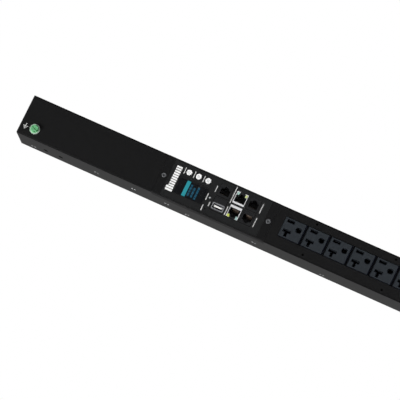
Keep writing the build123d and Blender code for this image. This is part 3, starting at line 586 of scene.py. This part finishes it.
class PrintBezel(bpy.types.Operator):
    """Prints a row of plain bars above the display and rows of dashes beside the controls"""

    bl_idname = "unit.print_bezel"
    bl_label = "Printing on the bezel"

    def execute(self, context):
        look, size = colours(), sizes()
        thickness = size.ink / MM
        # White epoxy ink: matt, opaque, a little softer than paper. The dashes get a thin coat,
        # which the film darkens.
        ink, _ = new_finish("white_screen_ink", look.ink, 0.5)
        thin, _ = new_finish("thin_screen_ink", look.thin_ink, 0.5)
        display_across, display_station, _ = middle_of("display_window")
        pitch, count = size.title_pitch / MM, 9
        title_station = display_station - 24.2
        across = display_across + 21.5 - pitch * (np.arange(count) + 0.5)
        middles = np.stack([across, np.full(count, title_station)], -1)
        bars = np.tile((0.74 * pitch, size.title_height / MM), (count, 1))
        # Two bars more, at the low end, are taller and wider
        low = across[-1] - pitch * np.array([1.0, 2.05])
        middles = np.concatenate([middles, [(a, title_station - 0.8) for a in low]])
        bars = np.concatenate([bars, [(0.86 * pitch, 9.2)] * 2])
        settle(printed_bars("title_bars", middles, bars, 0, thickness, ink, 0.3))
        # Rows of plain dashes, each row given by its two ends and its station
        rows = []
        for node in ("upper_button", "middle_button", "lower_button"):
            x, station, _ = middle_of(node)
            rows.append((x - 4.1, x + 4.1, station - 5.7))
        serial_x, serial_station, _ = middle_of("serial_jack")
        light_x, light_station, _ = middle_of("status_light")
        usb_x, usb_station, _ = middle_of("usb_port")
        right_x, network_station, _ = middle_of("network_jack_right")
        left_x, _, _ = middle_of("network_jack_left")
        _, sensor_station, _ = middle_of("sensor_jack_right")
        rows.append((serial_x - 5.2, serial_x + 3.0, serial_station - 11.3))
        rows.append((light_x - 4.6, light_x + 4.8, light_station - 3.7))
        rows.append((usb_x - 3.5, usb_x + 2.2, usb_station - 11.2))
        rows.append((light_x - 18.3, light_x - 10.9, light_station - 3.5))
        rows.append((right_x - 9.6, right_x + 12.0, network_station - 9.8))
        rows.append((left_x - 7.4, left_x + 4.6, network_station - 9.8))
        rows.append((right_x - 6.6, right_x + 5.6, sensor_station + 10.6))
        rows.append((left_x - 7.0, left_x + 5.2, sensor_station + 10.6))
        gap, shortest = 0.3, 0.6
        dashes = np.tile([2.9, 1.6, 3.7, 2.1, 2.5], 4)
        steps = np.cumsum(dashes + gap) - dashes - gap
        middles, bars = [], []
        for start, end, station in rows:
            lows = start + steps
            widths = np.minimum(dashes, end - lows)
            kept = widths > shortest
            middles += list(zip(lows[kept] + widths[kept] / 2, np.full(kept.sum(), station)))
            bars += [(width, size.label_height / MM) for width in widths[kept]]
        settle(printed_bars("label_dashes", middles, bars, 0, thickness, thin))
        return {"FINISHED"}


class DressDisplay(bpy.types.Operator):
    """Makes the window clear and lights a plain picture on the panel behind it"""

    bl_idname = "unit.dress_display"
    bl_label = "Display"

    def execute(self, context):
        look = colours()
        # Hard coated acrylic: clear, with a crisp reflection
        clear, _ = new_finish(
            "hard_coated_acrylic", (1, 1, 1), 0.03, IOR=1.3, Transmission_Weight=1.0
        )
        paint(clear, "display_window")
        # The dark border printed on the window: wider at the right and at the low end
        across, station, depth = middle_of("display_window")
        size = size_of("display_window")
        # Charcoal screen ink: the same velvet black as the film round it
        border, _ = new_finish("window_border_ink", look.overlay, 0.4)
        outer = rounded_outline((across, station), size - 0.3, 0.3)
        inner = rounded_outline((across - 1.0, station + 0.6), size - 3.2, 0.8)
        settle(rims("display_border", outer, inner, depth, 0.03, border))
        # Liquid crystal panel, lit from behind: an even navy, nearly black, under cyan and teal
        panel, _ = new_finish(
            "liquid_crystal_panel", (0, 0, 0), 0.3, Emission_Strength=1.0,
            Emission_Color=(*look.screen, 1),
        )
        paint(panel, "display_panel")
        # Lit segments: flat colours that glow by themselves and cast nothing on the bezel
        bright, _ = new_finish(
            "lit_cyan_segment", (0, 0, 0), 0.3, Emission_Strength=1.0,
            Emission_Color=(*look.screen_bar, 1),
        )
        dim, _ = new_finish(
            "lit_teal_segment", (0, 0, 0), 0.3, Emission_Strength=1.0,
            Emission_Color=(*look.screen_text, 1),
        )
        across, station, depth = middle_of("display_panel")
        bar = printed_bars(
            "screen_bar", [(across - 0.9, station - 6.4)], [(21.0, 4.6)], depth, 0.05, bright
        )
        settle(bar)
        # Rows of blocks: the row's station and low end from the panel's middle, then its widths
        gap, block_height = 0.7, 2.4
        middles, bars = [], []
        for row_station, start, widths in (
            (-1.3, -8.2, (4.2, 2.6, 3.4, 2.6)),
            (3.2, -8.2, (3.0, 4.4, 3.6)),
            (7.9, -9.2, (2.4, 3.8, 4.6, 3.0)),
        ):
            widths = np.array(widths)
            lows = start + np.cumsum(widths + gap) - widths - gap
            places = across + lows + widths / 2
            middles += [(place, station + row_station) for place in places]
            bars += [(width, block_height) for width in widths]
        settle(printed_bars("screen_rows", middles, bars, depth, 0.05, dim))
        return {"FINISHED"}


class DressJacks(bpy.types.Operator):
    """Finishes the jacks, their contacts and lights, and what lies round them"""

    bl_idname = "unit.dress_jacks"
    bl_label = "Jacks"

    def execute(self, context):
        # Tinned brass sheet: pale, nearly white metal with a soft gloss. The real rolling marks are
        # too fine to show, and are drawn at 0.25 mm.
        shield, shader = new_finish("tinned_brass_sheet", linear("#f0f0f2"), 0.5, 0.35)
        brushing(shield, shader, 0.25, 0.002)
        paint(shield, "network_shield_left", "network_shield_right")
        # Nickel plated shell of the USB port: darker and duller than the shields
        nickel, shader = new_finish("nickel_plated_shell", linear("#8e8f93"), 0.5, 0.4)
        brushing(nickel, shader, 0.25, 0.002)
        paint(nickel, "usb_port")
        # Moulded black PBT: plain, slightly glossy
        black, shader = new_finish("black_pbt", linear("#17181a"), 0.4, IOR=1.55)
        grain(black, shader, 0.6, 0.004)
        paint(black, "serial_jack", "sensor_jack_left", "sensor_jack_right", "usb_surround")
        paint(black, "network_jack_left", "network_jack_right")
        # Phosphor bronze, dulled: brown, with a warm glimmer deep in the sockets
        gold, _ = new_finish("dull_phosphor_bronze", linear("#63554a"), 0.5, 0.3)
        self.contacts(gold)
        # Moulded white PBT: bright and plain inside the dull shell
        white, _ = new_finish("white_pbt", linear("#ececea"), 0.4, IOR=1.55)
        paint(white, "usb_tongue")
        self.light_windows()
        self.gap_shadows()
        self.latch_notches(black)
        self.flanges(shield)
        return {"FINISHED"}

    def flanges(self, material):
        """The folded lips of the two shields, which lie over the lower ends of the black bodies."""
        lip = 1.25
        middles, lips = [], []
        for node in ("network_shield_right", "network_shield_left"):
            across, station, depth = middle_of(node)
            width, length = size_of(node)
            middles.append((across, station + length / 2 - lip / 2))
            lips.append((width, lip))
        piece = printed_bars("shield_lips", middles, lips, depth + 0.3, 0.33, material)
        settle(piece)

    def light_windows(self):
        """Tinted caps in the corners of the shielded jacks, each in its own colour and size.

        Each place is given by the jack, the way to its corner across and along the bar, the tint,
        its colour, and the cap's width and length.
        """
        places = (
            ("network_jack_right", (1, -1), "teal", "#a5c9c1", (2.4, 3.2)),
            ("network_jack_right", (1, 1), "lime", "#cdd893", (3.3, 3.2)),
            ("network_jack_left", (-1, -1), "lime_left", "#bfcb5a", (3.3, 3.2)),
            ("network_jack_left", (-1, 1), "pale", "#a9c6c2", (1.5, 2.4)),
        )
        thickness, rise = 1.53, 0.03
        for node, way, tint, colour, cap in places:
            across, station, depth = middle_of(node)
            middle = np.array([across, station]) + way * (size_of(node) / 2 - np.array(cap) / 2)
            # Tinted polycarbonate, unlit: a pale, glossy corner
            finish, _ = new_finish(f"{tint}_polycarbonate", linear(colour), 0.25)
            piece = printed_bars(
                f"{node}_{tint}_light", [middle], [cap], depth + thickness - rise, thickness,
                finish, 0.3,
            )
            settle(piece)
        # Clear polycarbonate pipes behind the caps: pale teal where they show past them
        pipes, _ = new_finish("clear_light_pipe", linear("#a7c7bf"), 0.25)
        paint(pipes, "network_lights")

    def gap_shadows(self):
        """Painted shade in the gap round each jack: dead-black rims, widest on the left and lower
        sides.
        """
        # Painted shade: dead black, which draws the dark line round each jack
        gap_shadow_paint, _ = new_finish("black_gap_shadow_paint", linear("#010101"), 0.95)
        spread, overlap, shift = 0.38, 0.25, np.array([0.22, -0.22])
        outer, inner = [], []
        for node in (
            "serial_jack", "usb_surround", "network_shield_right", "network_shield_left",
            "sensor_jack_right", "sensor_jack_left",
        ):
            middle, size = np.array(middle_of(node)[:2]), size_of(node)
            outer.append(rounded_outline(middle, size + 2 * spread, 0.1)[0])
            inner.append(rounded_outline(middle + shift, size - 2 * overlap, 0.1)[0])
        piece = rims("jack_gap_shadows", np.array(outer), np.array(inner), 0.3, 0.1, gap_shadow_paint)
        settle(piece)

    def latch_notches(self, material):
        """Black keys that fill the notch of each shield between its lights."""
        key_size = (0.8, 6.4)
        for node, way in (("network_jack_right", 1), ("network_jack_left", -1)):
            across, station, depth = middle_of(node)
            edge = across + way * (size_of(node)[0] + key_size[0]) / 2
            key = printed_bars(
                f"{node}_key", [(edge, station)], [key_size], depth + 0.2, 0.22, material
            )
            settle(key)

    def contacts(self, material):
        """Spring contacts: a square wire carried along a bent path that leans into the socket.

        The path is given by reach, the distance from the socket's low side, and by depth. Each
        section is a square in the plane across the path, and the wires repeat along the bar.
        """
        reach = np.array([0.35, 0.5, 0.9, 3.3, 3.7])
        depth = np.array([3.6, 2.7, 3.0, 10.4, 12.2])
        path = np.stack([reach, depth], -1)
        ahead = np.gradient(path, axis=0)
        ahead /= np.linalg.norm(ahead, axis=1)[:, None]
        side = np.stack([-ahead[:, 1], ahead[:, 0]], -1)
        thick, wide, pitch, count = 0.3, 0.46, 1.02, 8
        offsets = pitch * (np.arange(count) - (count - 1) / 2)
        half_socket, recess = 4.6, 0.3
        turns = np.array([(1, -1), (1, 1), (-1, 1), (-1, -1)])
        rings = []
        for node, way in (
            ("serial_jack", 1), ("network_jack_right", 1), ("network_jack_left", -1),
            ("sensor_jack_right", 1), ("sensor_jack_left", -1),
        ):
            across, station, front = middle_of(node)
            low_side = across - way * half_socket
            # Corner by corner: the path moved half a thickness to its side and half a width along
            corners = path[:, None, :] + turns[:, :1] * side[:, None, :] * thick / 2
            places = low_side + way * corners[..., 0]
            along = station + way * turns[:, 1] * wide / 2 + 0 * places
            depths = front - recess + corners[..., 1]
            for offset in offsets:
                rings.append(on_front(np.stack([places, along + offset], -1), depths))
        piece = loft("contact_springs", np.stack(rings), material)
        settle(piece)
        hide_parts("jack_contacts")


class DressOutlets(bpy.types.Operator):
    """Finishes the outlets and the carriers that hold them"""

    bl_idname = "unit.dress_outlets"
    bl_label = "Outlets"

    def execute(self, context):
        # Moulded nylon: charcoal with a cast of blue, smooth, low sheen. The real skin is too fine
        # to show, and is drawn at 0.7 mm.
        nylon, shader = new_finish("charcoal_nylon", colours().outlet, 0.4, IOR=1.53)
        grain(nylon, shader, 0.7, 0.004)
        paint(nylon, *self.outlets())
        # Black polycarbonate carriers, seen only as the dark line round each outlet, darkened to a
        # navy black that also paints the shade in those gaps
        carrier, shader = new_finish("carrier_black_and_gap_shade", linear("#080a11"), 0.7, IOR=1.3)
        grain(carrier, shader, 0.7, 0.004)
        paint(carrier, "upper_outlet_carrier", "lower_outlet_carrier")
        self.slot_shades()
        self.steps()
        self.carrier_screws()
        return {"FINISHED"}

    def slot_shades(self):
        """Painted shade round the slots: dark rims that stand for the shade at each opening's edge.

        Each row of an outline holds a corner's across and station from the outlet's middle, then
        the way that the rim runs out from it. The earth hole's outline is a circle's cosine and
        sine, whose lower half is stretched and cut off flat.
        """
        # Painted shade: dark and without shine
        dark, _ = new_finish("painted_slot_shade", linear("#07080e"), 0.9, IOR=1.12)
        ways = np.array([(1, 1), (-1, 1), (-1, -1), (1, -1)])
        hot = np.concatenate([(8.85, -6.0) + (1.2, 4.1) * ways, ways], 1)
        tee = np.array([
            (-2.65, -1.5, 1, 1), (-5.05, -1.5, -1, 1), (-5.05, -4.8, -1, 1),
            (-10.25, -4.8, -1, 1), (-10.25, -7.2, -1, -1), (-5.05, -7.2, -1, -1),
            (-5.05, -10.5, -1, -1), (-2.65, -10.5, 1, -1),
        ])
        turn = np.linspace(0, 2 * math.pi, 16, endpoint=False)
        cosine, sine = np.cos(turn), np.sin(turn)
        radius, stretch, flat = 2.8, 4.8, 3.4
        reach = np.where(sine < 0, radius * sine, np.minimum(flat, stretch * sine))
        arch = np.stack([2.5 + radius * cosine, 6.1 + reach, cosine, sine], -1)
        middles = np.array([middle_of(node) for node in self.outlets()])
        places, depth = middles[:, None, :2], middles[0, 2]
        slots = (("hot", hot, 0.75), ("neutral", tee, 0.7), ("earth", arch, 0.6))
        for name, outline, step in slots:
            # The outlines are listed clockwise for a viewer in front, so they are turned round
            corners = outline[::-1]
            inner = places + corners[:, :2]
            outer = inner + step * corners[:, 2:]
            piece = rims(f"{name}_slot_shades", outer, inner, depth, 0.03, dark)
            settle(piece)

    def steps(self):
        """Painted shade: dark bars along the lower and left edges of each outlet's face."""
        # Painted shade: nearly black with a cast of blue, along the edges that face away from the
        # light
        shade, _ = new_finish("shaded_nylon", linear("#0a0c15"), 0.9, IOR=1.15)
        lower_shade_bar, left_shade_bar = (26.0, 1.2), (0.6, 27.6)
        middles, bars = [], []
        for node in self.outlets():
            across, station, depth = middle_of(node)
            middles += [(across, station + 13.2), (across - 12.7, station)]
            bars += [lower_shade_bar, left_shade_bar]
        piece = printed_bars("outlet_edge_shades", middles, bars, depth + 0.7, 0.72, shade, 0.05)
        settle(piece)

    def carrier_screws(self):
        """Heads of the screws that hold the carriers: flat black discs, four to a carrier, drawn
        dead black so that they also paint the shade of a recess.
        """
        across, along = 20.4, 51.9
        middles = []
        for node in ("upper_outlet_carrier", "lower_outlet_carrier"):
            _, station, _ = middle_of(node)
            middles += [(x * across, station + y * along) for x in (-1, 1) for y in (-1, 1)]
        radius, rise = 1.35, 0.06
        profile = [(POLE, -rise), (radius, -rise), (radius + 0.1, 0.05)]
        # Black screw heads, dead black and without shine so that they also paint a recess's shade:
        # dark specks beside the outlets
        black, _ = new_finish("screw_black_and_recess_shade", linear("#020202"), 0.9, IOR=1.1)
        settle(turned("carrier_screw_heads", middles, profile, black, 20))

    def outlets(self):
        """The outlets' CAD nodes, from the top end down."""
        return sorted(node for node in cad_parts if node.startswith("outlet_"))


class MarkClinches(bpy.types.Operator):
    """Marks the clinches along both sides with low domes whose pale colour paints their glint"""

    bl_idname = "unit.mark_clinches"
    bl_label = "Clinch marks"

    def execute(self, context):
        # Painted highlight: a bright pale grey on each clinch's dome for the glint that it catches
        glinting, _ = new_finish("painted_clinch_glint", linear("#cfd0d2"), 0.5, 0.1)
        # Pairs near the back lie evenly along the bar, and four more lie nearer the front
        back_depth, front_depth, half_pair = 39.6, 29.0, 1.85
        back_stations = [18.1, 226.4, LENGTH / 2, LENGTH - 226.4, LENGTH - 18.1]
        pairs = [(back_depth, station) for station in back_stations]
        pairs += [(front_depth, station) for station in (104.9, 155.1, 200.1, 316.4)]
        middles = [
            (depth, station + step) for depth, station in pairs for step in (-half_pair, half_pair)
        ]
        # A low dome: circles that shrink as a quarter cosine while they rise as its sine
        rise = np.array([1.0, 0.75, 0.4, 0.0]) * math.pi / 2
        height, sunk, tip = 0.2, 0.05, 0.05
        radii = np.maximum(sizes().clinch_glint / MM * np.cos(rise), tip)
        outs = HALF_WIDTH - sunk + height * np.sin(rise)
        domes = [side_rings(face, middles, radii, outs) for face in (LEFT_FACE, RIGHT_FACE)]
        piece = loft("clinch_glints", np.concatenate(domes), glinting)
        settle(piece)
        return {"FINISHED"}


class DressInside(bpy.types.Operator):
    """Finishes the boards, bars, gland and other pieces inside and under the bar"""

    bl_idname = "unit.dress_inside"
    bl_label = "Inner pieces and gland"

    def execute(self, context):
        # Solder mask over glass cloth: deep green, glossy, with the weave faintly showing. Threads
        # of a common board cloth are about 0.8 mm apart one way.
        mask, shader = new_finish("solder_mask_board", linear("#14552f"), 0.28, IOR=1.55)
        grain(mask, shader, 0.8, 0.01)
        paint(mask, "controller_board", "power_supply_board")
        # Bright rolled copper: warm and brushed along its length
        copper, shader = new_finish("rolled_copper", linear("#c8805a"), 0.28, 1.0)
        brushing(copper, shader, 0.3, 0.003)
        paint(copper, "live_bus_bar", "neutral_bus_bar", "earth_bus_bar")
        # Moulded black nylon of the sensor and the terminals: plain, half matt
        black, shader = new_finish("black_moulded_block", linear("#15161a"), 0.42)
        grain(black, shader, 0.7, 0.004)
        paint(black, "current_sensor", "terminal_block")
        # Polycarbonate film: milky and smooth
        film, _ = new_finish("polycarbonate_film", linear("#dcdcd2"), 0.25)
        paint(film, "insulator_sheet")
        # Natural nylon: waxy off-white
        nylon, _ = new_finish("natural_nylon", linear("#ddd9cc"), 0.45)
        paint(nylon, "board_standoffs")
        # Glass filled nylon of the gland: black with a dull sheen
        gland, shader = new_finish("black_gland_nylon", linear("#1a1a1c"), 0.45)
        grain(gland, shader, 0.7, 0.006)
        paint(gland, "gland_body", "gland_locknut", "gland_cap_nut")
        # Chloroprene seal: dead black, no shine
        rubber, _ = new_finish("chloroprene_rubber", linear("#131313"), 0.75)
        paint(rubber, "gland_seal")
        return {"FINISHED"}


# Each lamp's name, place, side in metres and power in watts
LAMPS = (
    ("key_light", (-2.6, -2.4, 2.6), 1.6, 235),
    ("fill_light", (-1.2, -2.6, -2.2), 1.8, 100),
    ("back_light", (-0.9, 3.8, 0.75), 2.0, 3),
)
FLOOR_GLOW = 0.7
CAMERA_PLACE = (-0.92321837, -4.50211406, -0.67154793)
CAMERA_ROLL = math.radians(-66.01506)


class SetStage(bpy.types.Operator):
    """Lays the floor, lights the room and stands the camera where the photograph was taken"""

    bl_idname = "unit.set_stage"
    bl_label = "Floor, light and camera"

    def execute(self, context):
        stage = context.scene.unit_stage
        self.floor(stage)
        self.room(context.scene, stage)
        for name, place, size, power in LAMPS:
            self.lamp(context.scene, name, place, size, power)
        self.camera(context.scene, stage)
        return {"FINISHED"}

    def floor(self, stage):
        """A plain pale disc: one ring of points at the floor's height, closed by one face."""
        radius, points = 20, 64
        turn = np.linspace(0, 2 * math.pi, points, endpoint=False)
        ring = radius * np.stack([np.cos(turn), np.sin(turn), 0 * turn], -1)
        ring[:, 2] = -stage.floor_drop
        # White backdrop paper: matt and even, and lit by itself for the camera alone, so that it
        # stays pale without shining on the unit
        paper, shader = new_finish(
            "backdrop_paper", linear("#f2f2f2"), 0.9, Emission_Color=(*linear("#f2f2f2"), 1)
        )
        tree = paper.node_tree
        path = add_node(tree, "ShaderNodeLightPath")
        glow = add_node(
            tree, "ShaderNodeMath", [("operation", "MULTIPLY"), (1, FLOOR_GLOW)],
            [(0, path.outputs["Is Camera Ray"])],
        )
        tree.links.new(glow.outputs[0], shader.inputs["Emission Strength"])
        mesh = bpy.data.meshes.new("floor")
        mesh.from_pydata(ring.tolist(), [], [list(range(points))])
        mesh.materials.append(paper)
        floor = bpy.data.objects.new("floor", mesh)
        bpy.context.scene.collection.objects.link(floor)

    def room(self, scene, stage):
        """White where the camera looks past the unit, and a dimmer room for what lights it.

        The room's light falls off to the right and behind, so that the unit's far edges stay dark.
        The fall is a dot product: the direction against (1, 0.5, 0).
        """
        world = bpy.data.worlds.new("soft_room")
        world.use_nodes = True
        tree = world.node_tree
        tree.nodes.clear()
        path = add_node(tree, "ShaderNodeLightPath")
        seen = add_node(tree, "ShaderNodeBackground", [("Color", (1, 1, 1, 1)), ("Strength", 1)])
        way = add_node(tree, "ShaderNodeTexCoord")
        right = add_node(
            tree, "ShaderNodeVectorMath", [("operation", "DOT_PRODUCT"), (1, (1, 0.5, 0))],
            [(0, way.outputs["Generated"])],
        )
        fall = add_node(
            tree, "ShaderNodeMapRange",
            [(1, -0.05), (2, 0.55), (3, stage.room), (4, 0.2 * stage.room)],
            [(0, right.outputs["Value"])],
        )
        lit = add_node(
            tree, "ShaderNodeBackground", [("Color", (1, 1, 1, 1))], [("Strength", fall.outputs[0])]
        )
        both = add_node(
            tree, "ShaderNodeMixShader", [],
            [(0, path.outputs["Is Camera Ray"]), (1, lit.outputs[0]), (2, seen.outputs[0])],
        )
        add_node(tree, "ShaderNodeOutputWorld", [], [("Surface", both.outputs[0])])
        scene.world = world
        scene.view_settings.view_transform = "Standard"

    def lamp(self, scene, name, place, size, power):
        """A soft square light that faces the middle of the unit."""
        light = bpy.data.lights.new(name, "AREA")
        light.shape = "SQUARE"
        light.size = light.size_y = size
        light.energy = power
        lamp = bpy.data.objects.new(name, light)
        lamp.location = place
        lamp.rotation_euler = Vector(place).to_track_quat("Z", "Y").to_euler()
        scene.collection.objects.link(lamp)

    def camera(self, scene, stage):
        """The photograph's view: a long lens, turned on its axis so that the unit lies across."""
        data = bpy.data.cameras.new("camera")
        data.sensor_width = 36
        data.lens = stage.lens
        data.clip_start, data.clip_end = 0.1, 100
        camera = bpy.data.objects.new("camera", data)
        turn = Matrix.Rotation(stage.azimuth, 4, "Z")
        tilt = Matrix.Rotation(math.pi / 2 - stage.elevation, 4, "X")
        roll = Matrix.Rotation(CAMERA_ROLL, 4, "Z")
        camera.matrix_world = Matrix.Translation(CAMERA_PLACE) @ turn @ tilt @ roll
        scene.collection.objects.link(camera)
        scene.camera = camera


OPERATORS = (
    DressSteel, DressEarth, DressBezel, PrintBezel, DressDisplay, DressJacks, DressOutlets,
    MarkClinches, DressInside, SetStage,
)


class UnitPanel(bpy.types.Panel):
    """Lists the steps that dress the unit."""

    bl_idname = "VIEW3D_PT_power_unit"
    bl_label = "Power distribution unit"
    bl_space_type = "VIEW_3D"
    bl_region_type = "UI"
    bl_category = "Power unit"

    def draw(self, context):
        for step in OPERATORS:
            self.layout.operator(step.bl_idname)


CLASSES = (UnitColours, UnitSizes, StageSettings, *OPERATORS, UnitPanel)


def register():
    for cls in CLASSES:
        bpy.utils.register_class(cls)
    bpy.types.Scene.unit_colours = bpy.props.PointerProperty(type=UnitColours)
    bpy.types.Scene.unit_sizes = bpy.props.PointerProperty(type=UnitSizes)
    bpy.types.Scene.unit_stage = bpy.props.PointerProperty(type=StageSettings)


def unregister():
    del bpy.types.Scene.unit_stage, bpy.types.Scene.unit_sizes, bpy.types.Scene.unit_colours
    for cls in reversed(CLASSES):
        bpy.utils.unregister_class(cls)


def main():
    register()
    for step in OPERATORS:
        group, name = step.bl_idname.split(".")
        getattr(getattr(bpy.ops, group), name)()


if __name__ == "__main__":
    main()
